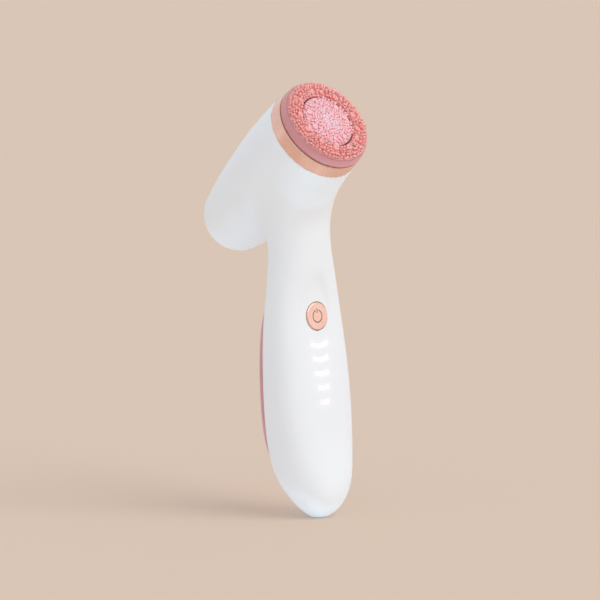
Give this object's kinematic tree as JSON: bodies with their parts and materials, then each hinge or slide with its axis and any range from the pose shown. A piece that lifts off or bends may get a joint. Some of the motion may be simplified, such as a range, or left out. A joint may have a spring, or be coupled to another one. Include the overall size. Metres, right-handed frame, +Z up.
{
  "type": "facial cleansing brush",
  "caption": "Handheld sonic facial cleansing brush: white leaning paddle handle, tapered head with round bulb, rose-gold ring and button, soft pink nubbed brush face.",
  "frame": {"origin": "middle of the small flat at the lower tip of the handle", "axes": "+Z up the handle, +X the way the button and the brush face, XZ the plane of symmetry"},
  "size_m": [0.0849, 0.0444, 0.1896],
  "materials": {
    "shell_white": "satin-gloss moulded ABS",
    "rose_gold": "satin rose-gold plating",
    "silicone_coral": "matt liquid silicone",
    "silicone_pink": "matt translucent silicone",
    "carrier_rose": "gloss tinted ABS",
    "pad_pink": "soft-touch overmoulding",
    "window_white": "frosted, lit from behind",
    "cover_grey": "moulded ABS",
    "frame_grey": "moulded nylon",
    "deck_white": "moulded POM",
    "board_green": "solder mask",
    "chip_black": "moulded epoxy",
    "cell_silver": "laminated foil",
    "seal_grey": "silicone rubber",
    "steel": "ground and zinc-plated",
    "magnet_dark": "nickel-plated magnet",
    "bronze": "sintered bronze",
    "copper": "enamelled wire",
    "contact_gold": "gold flash",
    "wire_red": "silicone insulation"
  },
  "bodies": {
    "housing": {"main_shell": "shell_white", "back_cover": "cover_grey", "cover_gasket": "seal_grey", "cover_screws": "steel", "grip_pad": "pad_pink", "inner_frame": "frame_grey", "charge_pins": "contact_gold", "contact_seal": "seal_grey", "motor_leads": "wire_red", "battery_leads": "wire_red", "charge_leads": "wire_red", "light_guide": "window_white", "frame_screws": "steel", "battery_cell": "cell_silver", "circuit_board": "board_green", "board_screws": "steel", "controller_chip": "chip_black", "indicator_leds": "window_white", "tact_switch": "chip_black", "button_boot": "seal_grey", "trim_ring": "rose_gold", "motor_deck": "deck_white", "deck_screws": "steel", "shaft_seal": "seal_grey", "motor_can": "steel", "motor_endcap": "deck_white", "stator_coils": "copper", "front_bearing": "bronze", "rear_bearing": "bronze", "motor_boot": "seal_grey"},
    "power_button": {"button_cap": "rose_gold", "button_plunger": "deck_white"},
    "drive": {"drive_shaft": "steel", "rotor_magnet": "magnet_dark", "drive_coupler": "deck_white"},
    "brush_head": {"brush_base": "carrier_rose", "disc_bushing": "deck_white", "outer_brush": "silicone_coral"},
    "brush_disc": {"disc_hub": "deck_white", "retaining_clip": "steel", "centre_brush": "silicone_pink"}
  },
  "joints": [
    {"name": "button_press", "type": "slide", "parent": "housing", "child": "power_button", "axis": [-0.9914, 0, -0.1305], "range_m": [0, 0.0005], "stiffness_N_per_m": 600, "springref_m": -0.002},
    {"name": "drive_oscillation", "type": "hinge", "parent": "housing", "child": "drive", "pos_m": [-0.0025, 0, 0.1665], "axis": [0.7727, 0, 0.6347], "range_deg": [-9, 9], "stiffness_Nm_per_rad": 0.02},
    {"name": "brush_head_pull", "type": "slide", "parent": "housing", "child": "brush_head", "axis": [0.7727, 0, 0.6347], "range_m": [0, 0.014]},
    {"name": "disc_oscillation", "type": "hinge", "parent": "brush_head", "child": "brush_disc", "pos_m": [-0.0025, 0, 0.1665], "axis": [0.7727, 0, 0.6347], "range_deg": [-9, 9]}
  ],
  "couplings": [
    {"joint": "disc_oscillation", "follows": "drive_oscillation", "ratio": 1}
  ]
}
